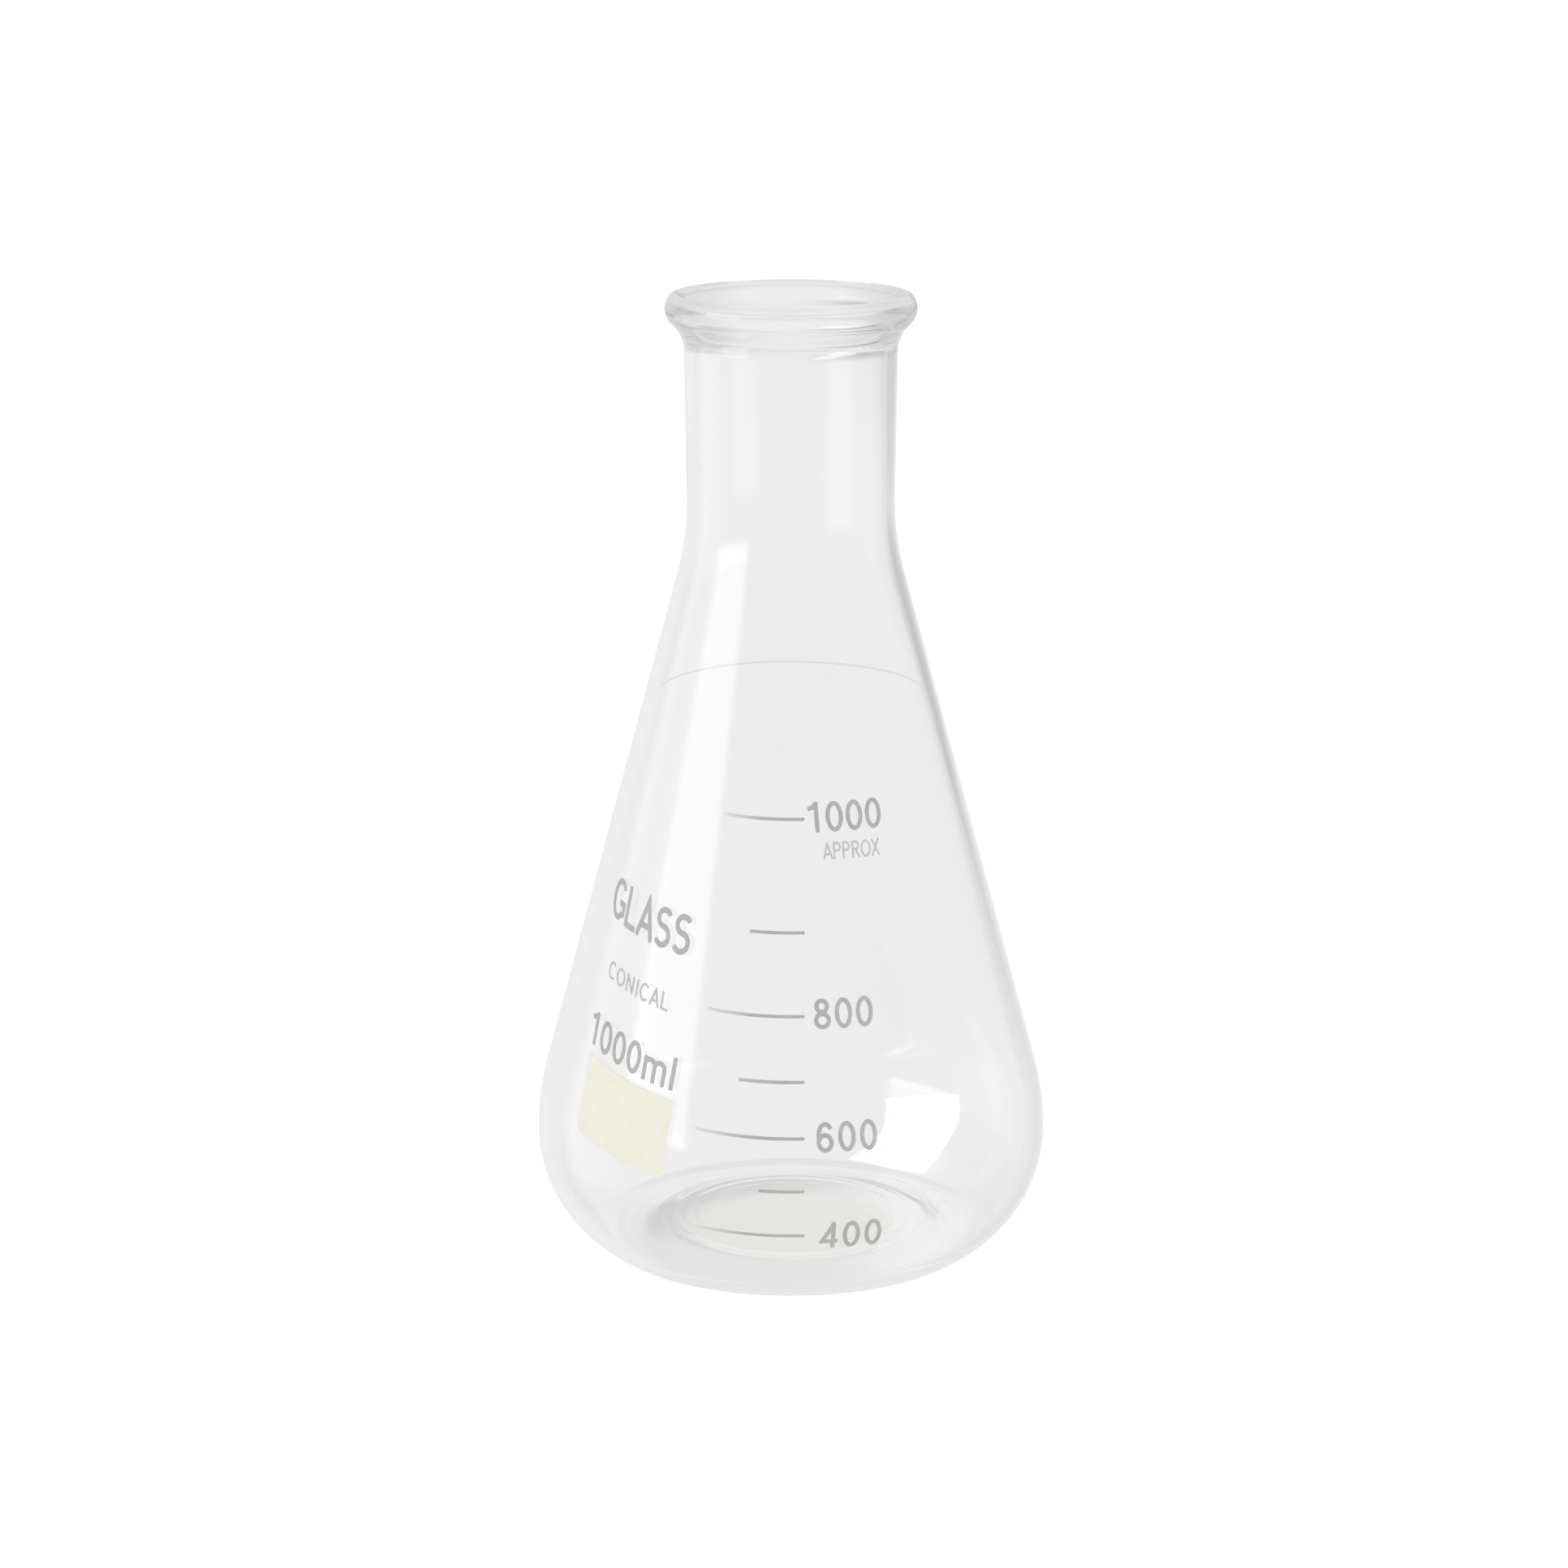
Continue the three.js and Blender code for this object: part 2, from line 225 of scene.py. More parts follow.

# Floor, and the patch of it under the base, which is a painted shadow with painted shade on the camera's far
# left and painted light on its right and at the outer edge of its shaded side. A pair says where an effect
# begins and where it is complete.
FLOOR_RADIUS = 3
FLOOR_DROP = 0.0003
UNDER_LIGHT = 0.82
UNDER_SHADE = -0.22
UNDER_LIFT = 0.14
UNDER_EDGE_LIGHT = 0.08
UNDER_MIDDLE = (0.02, 0.03)
UNDER_END = (0.039, 0.05)
# Tints of the painted shadow; the middle's yellow stands in for the glass's own tint through the thick base
UNDER_MIDDLE_TINT = (0.95, 0.95, 0.9, 1)
UNDER_TINT = (0.95, 0.95, 0.95, 1)
# How much of the camera's X and Z points towards the shaded side
SHADE_SIDE = (-0.6, 0.8)
SHADE_START = (0.0, 0.034)
SHADE_END = (0.039, 0.034)
EDGE_START = (0.035, 0.039)
LIFT_START = (0.005, 0.034)

# Camera and light paths
CAMERA_PITCH = math.radians(13.54)
CAMERA_PLACE = (0, -0.98, 0.352)
CAMERA_LENS = 94.38
CAMERA_SHIFT = -0.00445
GLASS_BOUNCES = 128

heel_r = BODY_RADIUS - HEEL_ARC
bow_r = BODY_RADIUS - BOW_ARC
bow_end_r = bow_r + BOW_ARC * math.cos(CONE_ANGLE)
bow_end_z = WIDEST_Z + BOW_ARC * math.sin(CONE_ANGLE)
shoulder_r = NECK_RADIUS + SHOULDER_ARC
cone_top_r = shoulder_r - SHOULDER_ARC * math.cos(CONE_ANGLE)
cone_height = (bow_end_r - cone_top_r) / math.tan(CONE_ANGLE)
neck_z = bow_end_z + cone_height + SHOULDER_ARC * math.sin(CONE_ANGLE)


# ---- Mesh helpers ----


def add_piece(name, points, faces, material, slot, *nodes):
    """A smooth mesh in place of CAD nodes. Points are in millimetres."""
    mesh = bpy.data.meshes.new(name)
    mesh.from_pydata([tuple(p) for p in np.asarray(points) * MM], [], faces)
    mesh.validate()
    mesh.shade_smooth()
    mesh.materials.append(material)
    piece = bpy.data.objects.new(name, mesh)
    bpy.context.scene.collection.objects.link(piece)
    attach(piece, "root")
    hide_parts(*nodes)
    return piece


# ---- Glass ----


def arc(r, z, radius, start, end):
    """Points (radius, height) along an arc of the profile, both ends included."""
    sweep = abs(end - start)
    steps = max(2, math.ceil(sweep / ARC_TURN), math.ceil(sweep * radius / LONGEST_STEP))
    angles = np.linspace(start, end, steps + 1)
    return [(r + radius * math.cos(a), z + radius * math.sin(a)) for a in angles]


def level_round(z, radius, heel_arc):
    """A small round, tangent to a level line and to the inside of the heel's arc."""
    reach = heel_arc - radius
    angle = -math.asin((WIDEST_Z - z - radius) / reach)
    r = heel_r + reach * math.cos(angle)
    return angle, arc(r, z + radius, radius, -math.pi / 2, angle)


def ramp(z):
    """The pushed-up middle of the base and its smooth ramp, from the axis outwards."""
    level = [(r, z + PUSH_UP) for r in np.linspace(0, RAMP_INNER, 24)[:-1]]
    share = np.linspace(0, 1, 25)
    rise = PUSH_UP * (1 + np.cos(math.pi * share)) / 2
    return level + [(RAMP_INNER + (RAMP_OUTER - RAMP_INNER) * s, z + h) for s, h in zip(share, rise)]


def outside_profile():
    foot_angle, foot = level_round(0, FOOT_ARC, HEEL_ARC)
    return [
        *ramp(0),
        *foot,
        *arc(heel_r, WIDEST_Z, HEEL_ARC, foot_angle, 0),
        *arc(bow_r, WIDEST_Z, BOW_ARC, 0, CONE_ANGLE),
        *arc(shoulder_r, neck_z, SHOULDER_ARC, math.pi + CONE_ANGLE, math.pi),
    ]


def rim_profile():
    """The neck flares out, turns over a round bead and drops back into the mouth."""
    under_r = NECK_TOP_RADIUS + FLARE_ARC * (1 - math.cos(FLARE_ANGLE))
    under_z = FLARE_Z + FLARE_ARC * math.sin(FLARE_ANGLE)
    bead = (RIM_RADIUS - under_r) / (1 - math.cos(FLARE_ANGLE))
    bead_r = RIM_RADIUS - bead
    bead_z = under_z + bead * math.sin(FLARE_ANGLE)
    rise = math.sin(CREST_ANGLE)
    crest = (HEIGHT - bead_z - bead * rise) / (1 - rise)
    crest_r = bead_r + (bead - crest) * math.cos(CREST_ANGLE)
    crest_z = HEIGHT - crest
    bore_r = NECK_TOP_RADIUS - MOUTH_WALL
    lip_r = crest_r - crest * math.cos(MOUTH_ANGLE)
    lip_z = crest_z + crest * math.sin(MOUTH_ANGLE)
    mouth_top_r = bore_r + MOUTH_ARC * (1 - math.cos(MOUTH_ANGLE))
    mouth_top_z = lip_z - (lip_r - mouth_top_r) / math.tan(MOUTH_ANGLE)
    mouth_z = mouth_top_z - MOUTH_ARC * math.sin(MOUTH_ANGLE)
    return [
        *arc(NECK_TOP_RADIUS + FLARE_ARC, FLARE_Z, FLARE_ARC, math.pi, math.pi - FLARE_ANGLE),
        *arc(bead_r, bead_z, bead, -FLARE_ANGLE, CREST_ANGLE),
        *arc(crest_r, crest_z, crest, CREST_ANGLE, math.pi - MOUTH_ANGLE),
        *arc(bore_r + MOUTH_ARC, mouth_z, MOUTH_ARC, math.pi - MOUTH_ANGLE, math.pi),
    ]


def inside_profile():
    heel_arc = HEEL_ARC - CONE_WALL
    corner_angle, corner = level_round(FLOOR, CORNER_ARC, heel_arc)
    return [
        *arc(shoulder_r, neck_z, SHOULDER_ARC + NECK_WALL, math.pi, math.pi + CONE_ANGLE),
        *arc(bow_r, WIDEST_Z, BOW_ARC - CONE_WALL, CONE_ANGLE, 0),
        *arc(heel_r, WIDEST_Z, heel_arc, 0, corner_angle),
        *reversed(corner),
        *reversed(ramp(FLOOR)),
    ]


def fill_in(points):
    """Drops repeated points and divides long straight stretches."""
    filled = [points[0]]
    for point in points[1:]:
        last = filled[-1]
        length = math.dist(point, last)
        if length < SHORTEST_STEP:
            continue
        for share in np.linspace(0, 1, max(1, math.ceil(length / LONGEST_STEP)) + 1)[1:]:
            filled.append((last[0] + (point[0] - last[0]) * share, last[1] + (point[1] - last[1]) * share))
    return np.array(filled)


def waviness(angle, z, seed):
    """Slow unevenness of blown glass, between -1 and 1, the same on every run."""
    return (
        0.45 * np.sin(2 * angle + z / 17 + seed)
        + 0.3 * np.sin(3 * angle - z / 11 + 2.3 * seed)
        + 0.25 * np.sin(5 * angle + z / 7 + 4.1 * seed)
    )


def drawn_line(angle, z):
    """A faint ridge inside the back of the cone, between 0 and 1."""
    return np.exp(-(((z - MARK_Z) / RIDGE_WIDTH) ** 2)) * np.clip(np.cos(angle - math.pi) * 1.6 + 0.2, 0, 1)


def glass_mesh(material):
    outside = fill_in(outside_profile() + rim_profile())
    inside = fill_in([tuple(outside[-1])] + inside_profile())[1:]
    profile = np.concatenate([outside, inside])
    profile[-1][0] = 0
    count = len(profile)
    ahead = np.roll(profile, -1, axis=0) - np.roll(profile, 1, axis=0)
    ahead /= np.linalg.norm(ahead, axis=1)[:, None]
    out = np.stack([ahead[:, 1], -ahead[:, 0]], axis=1)
    is_inside = np.arange(count) >= len(outside)
    angles = np.arange(ROUND_SEGMENTS) * 2 * math.pi / ROUND_SEGMENTS
    r, z = profile[:, 0][:, None], profile[:, 1][:, None]
    angle = angles[None, :]
    free = np.clip(r / CALM_RADIUS, 0, 1) * np.clip(z / CALM_HEIGHT, 0, 1)
    outer = -OUTER_WAVE * (1 + waviness(angle, z, 1.0)) * free
    inner = (INNER_WAVE * waviness(angle, z, 2.0) + RIDGE * drawn_line(angle, z)) * free
    push = np.where(is_inside[:, None], inner, outer)
    r = r + push * out[:, 0][:, None]
    z = z + push * out[:, 1][:, None]
    points = [(0, 0, profile[0][1]), (0, 0, profile[-1][1])]
    ring = np.stack([r * np.sin(angle), -r * np.cos(angle), z + 0 * angle], axis=2)[1:-1]
    points = np.concatenate([np.array(points), ring.reshape(-1, 3)])
    rows = count - 2

    def at(row, column):
        return 2 + row * ROUND_SEGMENTS + column % ROUND_SEGMENTS

    faces = [(0, at(0, c + 1), at(0, c)) for c in range(ROUND_SEGMENTS)]
    for row in range(rows - 1):
        for c in range(ROUND_SEGMENTS):
            faces.append((at(row, c), at(row, c + 1), at(row + 1, c + 1), at(row + 1, c)))
    faces += [(1, at(rows - 1, c), at(rows - 1, c + 1)) for c in range(ROUND_SEGMENTS)]
    return add_piece("glass_flask_blown", points, faces, material, "clear_glass", "glass_flask")


# ---- Enamel on the surface ----


def outside_radius(z):
    """Outside radius of the heel, bow or cone at a height."""
    rise = z - WIDEST_Z
    heel = heel_r + np.sqrt(np.maximum(HEEL_ARC**2 - rise**2, 0))
    bow_side = bow_r + np.sqrt(np.maximum(BOW_ARC**2 - rise**2, 0))
    cone = bow_end_r - (z - bow_end_z) * math.tan(CONE_ANGLE)
    return np.where(rise < 0, heel, np.where(z < bow_end_z, bow_side, cone))


def bend(flat, angle, z):
    """Flat points (along the print, up, out) taken round the glass, their origin at an angle and a height."""
    x, y, out = flat.T
    left = np.minimum(angle * outside_radius(z) + x, 0)
    height = z + y + PRINT_CLIMB * left**2
    radius = outside_radius(height)
    step = 0.01
    lean = (outside_radius(height + step) - outside_radius(height - step)) / (2 * step)
    out = (GAP + out) / np.hypot(1, lean)
    turn = angle + x / radius
    return np.stack([(radius + out) * np.sin(turn), -(radius + out) * np.cos(turn), height - out * lean], 1)


def distance_inside(loops, x, y):
    """Signed distance from the outline made by closed loops, negative inside."""
    nearest = np.full(x.shape, 1e9)
    inside = np.zeros(x.shape, bool)
    for loop in loops:
        for (ax, ay), (bx, by) in zip(loop, np.roll(loop, -1, axis=0)):
            dx, dy = bx - ax, by - ay
            share = np.clip(((x - ax) * dx + (y - ay) * dy) / (dx * dx + dy * dy), 0, 1)
            nearest = np.minimum(nearest, np.hypot(x - ax - share * dx, y - ay - share * dy))
            if ay != by:
                crosses = (ay > y) != (by > y)
                inside ^= crosses & (x < ax + (y - ay) * dx / dy)
    return np.where(inside, -nearest, nearest)


def soften(values, reach):
    """Smoothing over a reach in cells, which rounds the corners of an outline a little."""
    steps = np.arange(-4, 5)
    weights = np.exp(-((steps / reach) ** 2) / 2)
    weights /= weights.sum()
    for axis in (0, 1):
        padded = np.pad(values, [(4, 4) if a == axis else (0, 0) for a in (0, 1)], mode="edge")
        length = values.shape[axis]
        values = sum(w * np.take(padded, range(i, i + length), axis=axis) for i, w in enumerate(weights))
    return values


def deposit(name, node, shapes, cell, material, slot, angle, z):
    """A closed, softly crowned layer of enamel over flat shapes, each a list of loops."""
    ends = np.concatenate([loop for loops in shapes for loop in loops])
    low, high = ends.min(0) - 3 * cell, ends.max(0) + 3 * cell
    xs = np.arange(low[0], high[0] + cell, cell)
    ys = np.arange(low[1], high[1] + cell, cell)
    x, y = np.meshgrid(xs, ys, indexing="ij")
    depth = np.min([distance_inside(loops, x, y) for loops in shapes], axis=0)
    depth = soften(depth, SOFT_CORNER)
    ragged = np.sin(x * 9.1 + 1.7 * np.sin(y * 7.3)) * np.sin(y * 8.3 + 1.3 * np.sin(x * 6.1))
    depth = depth + RAGGED_EDGE * ragged
    depth = np.where(np.abs(depth) < 1e-5, 1e-5, depth)
    points, crown, index = [], [], {}

    def vertex(key, px, py, inward):
        if key not in index:
            index[key] = len(points)
            points.append((px, py))
            crown.append(inward)
        return index[key]

    def corner(i, j):
        return vertex((i, j), x[i, j], y[i, j], -depth[i, j])

    def crossing(a, b):
        first, second = min(a, b), max(a, b)
        share = depth[first] / (depth[first] - depth[second])
        px = x[first] + share * (x[second] - x[first])
        py = y[first] + share * (y[second] - y[first])
        return vertex((first, second), px, py, 0.0)

    top, edges = [], []
    filled = depth < 0
    cells = filled[:-1, :-1] | filled[1:, :-1] | filled[:-1, 1:] | filled[1:, 1:]
    for i, j in zip(*np.nonzero(cells)):
        around = [(i, j), (i + 1, j), (i + 1, j + 1), (i, j + 1)]
        face, cuts = [], []
        for a, b in zip(around, around[1:] + around[:1]):
            if filled[a]:
                face.append(corner(*a))
            if filled[a] != filled[b]:
                face.append(crossing(a, b))
                cuts.append((len(face) - 1, filled[a]))
        top.append(face)
        for position, leaving in cuts:
            if leaving:
                edges.append((face[position], face[(position + 1) % len(face)]))
    count = len(points)
    flat = np.array(points)
    inward = np.clip(np.array(crown) / CROWN_WIDTH, 0, 1)
    height = (ENAMEL - GAP) * (EDGE_HEIGHT + (1 - EDGE_HEIGHT) * inward * (2 - inward))
    upper = np.column_stack([flat, height])
    lower = np.column_stack([flat, np.zeros(count)])
    faces = top + [[v + count for v in reversed(face)] for face in top]
    faces += [(b, a, a + count, b + count) for a, b in edges]
    return add_piece(name, bend(np.concatenate([upper, lower]), angle, z), faces, material, slot, node)


def band(node, start, end, z, height, cell, material, slot):
    """A bar or panel between two distances along the glass, right of the front."""
    half = np.array([(end - start) / 2, height / 2])
    loop = half * np.array([(-1, -1), (1, -1), (1, 1), (-1, 1)])
    angle = (start + end) / 2 / float(outside_radius(z))
    return deposit(node + "_print", node, [[loop]], cell, material, slot, angle, z)


# ---- Lettering: pen strokes one unit high, drawn along centre lines ----


def line(*numbers):
    return np.array(numbers, float).reshape(-1, 2), False


def bow(x, y, width, height, start, end):
    steps = math.ceil(abs(end - start) / ROUND_STEP)
    angles = np.radians(np.linspace(start, end, steps + 1))
    return np.column_stack([x + width * np.cos(angles), y + height * np.sin(angles)]), False


def ring(x, y, width, height):
    return bow(x, y, width, height, 0, 360)[0][:-1], True


def joined(*strokes):
    return np.concatenate([points for points, _ in strokes]), False


def bowl_strokes(half):
    """The stem and bowl that P and R share."""
    depth = (0.56 - 2 * half) / 2
    bowl = bow(0, 1 - half - depth, 0.28 - half, depth, 90, -90)
    foot = line(-0.24, 1 - half - 2 * depth)
    return [line(-0.24, 0, -0.24, 1), joined(line(-0.24, 1 - half), bowl, foot)]


def s_stroke(half):
    upper, lower = (0.48 - half) / 2, (0.52 - half) / 2
    top = bow(0, 1 - half - upper, 0.3 - half, upper, 30, 270)
    return [joined(top, bow(0, half + lower, 0.32 - half, lower, 67.5, -150))]


# Each letter's advance, and its strokes for half a pen's width.
LETTERS = {
    "0": (0.68, lambda half: [ring(0, 0.5, 0.3 - half, 0.5 - half)]),
    "1": (0.62, lambda half: [line(0.06, 0, 0.06, 1), line(-0.22, 0.76, -0.06, 0.82, 0.06, 0.94)]),
    "4": (0.68, lambda half: [line(0.13, 0, 0.13, 1), line(0.13, 0.93, -0.24, 0.27, 0.29, 0.27)]),
    "6": (
        0.68,
        lambda half: [
            ring(0, 0.32, 0.29 - half, 0.32 - half),
            bow(0.02, 0.5, 0.31 - half, 0.5 - half, 38, 195),
        ],
    ),
    "8": (
        0.68,
        lambda half: [
            ring(0, 0.745, 0.25 - half, 0.255 - half),
            ring(0, 0.285, 0.29 - half, 0.285 - half),
        ],
    ),
    "m": (
        1.04,
        lambda half: [
            line(-0.38, 0, -0.38, 0.74),
            joined(bow(-0.19, 0.5, 0.19, 0.24 - half, 170, 0), line(0, 0)),
            joined(bow(0.19, 0.5, 0.19, 0.24 - half, 170, 0), line(0.38, 0)),
        ],
    ),
    "l": (0.34, lambda half: [line(0, 0, 0, 1)]),
    "A": (0.74, lambda half: [line(-0.32, 0, 0, 0.93, 0.32, 0), line(-0.2, 0.32, 0.2, 0.32)]),
    "C": (0.78, lambda half: [bow(0, 0.5, 0.37 - half, 0.5 - half, 45, 315)]),
    "G": (
        0.84,
        lambda half: [
            bow(0, 0.5, 0.38 - half, 0.5 - half, 42, 318),
            line(0.06, 0.44, 0.38 - half, 0.44, 0.38 - half, 0.14),
        ],
    ),
    "I": (0.36, lambda half: [line(0, 0, 0, 1)]),
    "L": (0.66, lambda half: [line(-0.22, 1, -0.22, half, 0.26, half)]),
    "N": (
        0.8,
        lambda half: [line(-0.26, 0, -0.26, 1), line(0.26, 0, 0.26, 1), line(-0.26, 0.95, 0.26, 0.05)],
    ),
    "O": (0.84, lambda half: [ring(0, 0.5, 0.4 - half, 0.5 - half)]),
    "P": (0.7, bowl_strokes),
    "R": (0.74, lambda half: [*bowl_strokes(half), line(0, 0.46, 0.28, 0)]),
    "S": (0.72, s_stroke),
    "X": (0.74, lambda half: [line(-0.3, 0, 0.3, 1), line(-0.3, 1, 0.3, 0)]),
}


def parallel(points, closed, distance):
    """The line parallel to a stroke at a distance to its left, with mitred corners."""
    ahead = np.roll(points, -1, axis=0) - points
    if not closed:
        ahead[-1] = ahead[-2]
    ahead /= np.linalg.norm(ahead, axis=1)[:, None]
    behind = np.roll(ahead, 1, axis=0)
    if not closed:
        behind[0] = ahead[0]
    along = ahead + behind
    along /= np.linalg.norm(along, axis=1)[:, None]
    reach = distance / (along * ahead).sum(1)
    return points + reach[:, None] * np.column_stack([-along[:, 1], along[:, 0]])


def stroke_loops(stroke, half):
    points, closed = stroke
    if closed:
        return [parallel(points, True, -half), parallel(points, True, half)]
    return [np.concatenate([parallel(points, False, -half), parallel(points, False, half)[::-1]])]


def write(name, text, pen, material, slot, height, angle, z, width):
    """A line of print centred on an angle. Its letters are numbered from the left."""
    advances = [LETTERS[letter][0] * height for letter in text]
    spread = width / sum(advances)
    narrow = np.array([min(spread, 1) * height, height])
    start = -width / 2
    for i, (letter, advance) in enumerate(zip(text, advances)):
        middle = np.array([start + advance * spread / 2, 0])
        strokes = LETTERS[letter][1](pen / 2)
        shapes = [[loop * narrow + middle for loop in stroke_loops(s, pen / 2)] for s in strokes]
        node = f"{name}_{i + 1}"
        deposit(node + "_print", node, shapes, LETTER_CELL, material, slot, math.radians(angle), z)
        start += advance * spread


# ---- Materials ----


def add_node(tree, kind, inputs=None, **settings):
    made = tree.nodes.new(kind)
    for key, value in settings.items():
        setattr(made, key, value)
    for key, value in (inputs or {}).items():
        if isinstance(value, bpy.types.NodeSocket):
            tree.links.new(value, made.inputs[key])
        else:
            made.inputs[key].default_value = value
    return made


def math_node(tree, operation, *values, clamp=False):
    inputs = dict(enumerate(values))
    return add_node(tree, "ShaderNodeMath", inputs, operation=operation, use_clamp=clamp).outputs[0]


def product(tree, first, *others):
    for other in others:
        first = math_node(tree, "MULTIPLY", first, other)
    return first


def smooth_step(tree, value, low, high):
    inputs = {"Value": value, "From Min": low, "From Max": high}
    return add_node(tree, "ShaderNodeMapRange", inputs, interpolation_type="SMOOTHSTEP").outputs[0]


def degrees_of(tree, operation, *values):
    return math_node(tree, "DEGREES", math_node(tree, operation, *values))


def split(tree, vector):
    """The outputs X, Y and Z of a vector."""
    return add_node(tree, "ShaderNodeSeparateXYZ", {0: vector}).outputs


def camera_parts(tree, vector):
    """A world vector along the camera's axes: X to its right, Z away from it."""
    turned = add_node(
        tree,
        "ShaderNodeVectorTransform",
        {0: vector},
        vector_type="VECTOR",
        convert_from="WORLD",
        convert_to="CAMERA",
    )
    return split(tree, turned.outputs[0])


def length_of(tree, vector):
    return add_node(tree, "ShaderNodeVectorMath", {0: vector}, operation="LENGTH").outputs["Value"]


def mix_number(tree, share, first, second):
    return add_node(tree, "ShaderNodeMix", {0: share, 2: first, 3: second}, data_type="FLOAT").outputs[0]


def mix_colour(tree, share, first, second):
    return add_node(tree, "ShaderNodeMix", {0: share, 6: first, 7: second}, data_type="RGBA").outputs[2]


def mix_shader(tree, share, first, second):
    return add_node(tree, "ShaderNodeMixShader", {0: share, 1: first, 2: second}).outputs[0]


def emission(tree, strength, colour=WHITE):
    return add_node(tree, "ShaderNodeEmission", {"Color": colour, "Strength": strength}).outputs[0]


def object_place(tree):
    return add_node(tree, "ShaderNodeTexCoord").outputs["Object"]


def object_noise(tree, scale, detail=3.0, roughness=0.5):
    inputs = {"Vector": object_place(tree), "Scale": scale, "Detail": detail, "Roughness": roughness}
    return add_node(tree, "ShaderNodeTexNoise", inputs).outputs["Fac"]


def new_material(name):
    material = bpy.data.materials.new(name)
    material.use_nodes = True
    material.node_tree.nodes.clear()
    return material, material.node_tree


def glass_roughness(tree, height):
    """Fine scuffs where the foot stands, and faint smears all over."""
    foot = smooth_step(tree, height, *FOOT_SCUFFED)
    scuffs = smooth_step(tree, object_noise(tree, SCUFF_SCALE, detail=4), *SCUFF_RANGE)
    smears = smooth_step(tree, object_noise(tree, SMEAR_SCALE, detail=5, roughness=0.6), *SMEAR_RANGE)
    scuffed = product(tree, foot, scuffs, SCUFF_ROUGHNESS)
    return math_node(tree, "MULTIPLY_ADD", smears, SMEAR_ROUGHNESS, scuffed)


def glass_waves(tree, radius, height):
    """The slow unevenness of blown glass, and round ripples in the base outside its middle."""
    ripple = math_node(tree, "SINE", math_node(tree, "MULTIPLY", radius, 2 * math.pi / RIPPLE_PITCH))
    in_base = product(tree, smooth_step(tree, radius, *RIPPLE_START), smooth_step(tree, height, *RIPPLE_TOP))
    ripple = product(tree, ripple, in_base, RIPPLE_SHARE)
    uneven = math_node(tree, "ADD", object_noise(tree, WAVE_SCALE, detail=2), ripple)
    inputs = {"Height": uneven, "Strength": WAVE_STRENGTH, "Distance": WAVE_DEPTH}
    return add_node(tree, "ShaderNodeBump", inputs).outputs["Normal"]


def rim_shade_mask(tree, place, height):
    """Where painted shade darkens the rim: 1 at its left and right, as the camera sees them, and 0 elsewhere.
    """
    sideways = math_node(tree, "ABSOLUTE", camera_parts(tree, place)["X"])
    return product(tree, smooth_step(tree, sideways, *RIM_SIDES), smooth_step(tree, height, *RIM_BOTTOM))


def ring_mark(tree, parts, radius):
    """A fine line on the back half of the inner wall, which fades at its ends."""
    inner = math_node(tree, "LESS_THAN", radius, MARK_RADIUS * MM)
    near = math_node(tree, "ABSOLUTE", math_node(tree, "SUBTRACT", parts["Z"], MARK_Z * MM))
    thin = smooth_step(tree, near, MARK_WIDTH * MM, 0.0)
    behind = smooth_step(tree, parts["Y"], *MARK_ENDS)
    return product(tree, inner, thin, behind, MARK_STRENGTH)


def glass_material():
    """Clear glass that lets soft light and shadows through. Light trapped in it ends in a plain grey glow,
    which is painted light; the rim's left and right, as the camera sees them, get painted shade.
    """
    material, tree = new_material("borosilicate_glass")
    place = object_place(tree)
    parts = split(tree, place)
    height = parts["Z"]
    level = add_node(tree, "ShaderNodeCombineXYZ", {0: parts["X"], 1: parts["Y"]}).outputs[0]
    radius = length_of(tree, level)
    sides = rim_shade_mask(tree, place, height)
    # Painted shade: the glass's colour darkens at the rim's left and right, as the camera sees them
    rim_shade_tone = math_node(tree, "MULTIPLY_ADD", sides, RIM_PAINTED_SHADE, 1.0)
    looks = {
        "Color": add_node(tree, "ShaderNodeCombineColor", {0: rim_shade_tone, 1: rim_shade_tone, 2: rim_shade_tone}).outputs[0],
        "Roughness": glass_roughness(tree, height),
        "IOR": GLASS_IOR,
        "Normal": glass_waves(tree, radius, height),
    }
    surface = add_node(tree, "ShaderNodeBsdfGlass", looks).outputs[0]
    path = add_node(tree, "ShaderNodeLightPath").outputs
    passing = math_node(tree, "MAXIMUM", path["Is Shadow Ray"], path["Is Diffuse Ray"])
    clear = add_node(tree, "ShaderNodeBsdfTransparent", {"Color": CLEAR_TINT}).outputs[0]
    surface = mix_shader(tree, passing, surface, clear)
    # Painted light: rays past TRAPPED_DEPTH bounces end in a fixed grey glow
    trapped = math_node(tree, "GREATER_THAN", path["Ray Depth"], TRAPPED_DEPTH)
    trapped_painted_light = math_node(tree, "MULTIPLY_ADD", sides, TRAPPED_PAINTED_SHADE, TRAPPED_PAINTED_LIGHT)
    surface = mix_shader(tree, trapped, surface, emission(tree, trapped_painted_light))
    # A darker fine line on the inner wall, over the ridge at the back of the cone
    dark_line = add_node(tree, "ShaderNodeBsdfTransparent", {"Color": MARK_TINT}).outputs[0]
    surface = mix_shader(tree, ring_mark(tree, parts, radius), surface, dark_line)
    body = add_node(tree, "ShaderNodeVolumeAbsorption", {"Color": BODY_TINT, "Density": BODY_DENSITY})
    add_node(tree, "ShaderNodeOutputMaterial", {"Surface": surface, "Volume": body.outputs[0]})
    return material


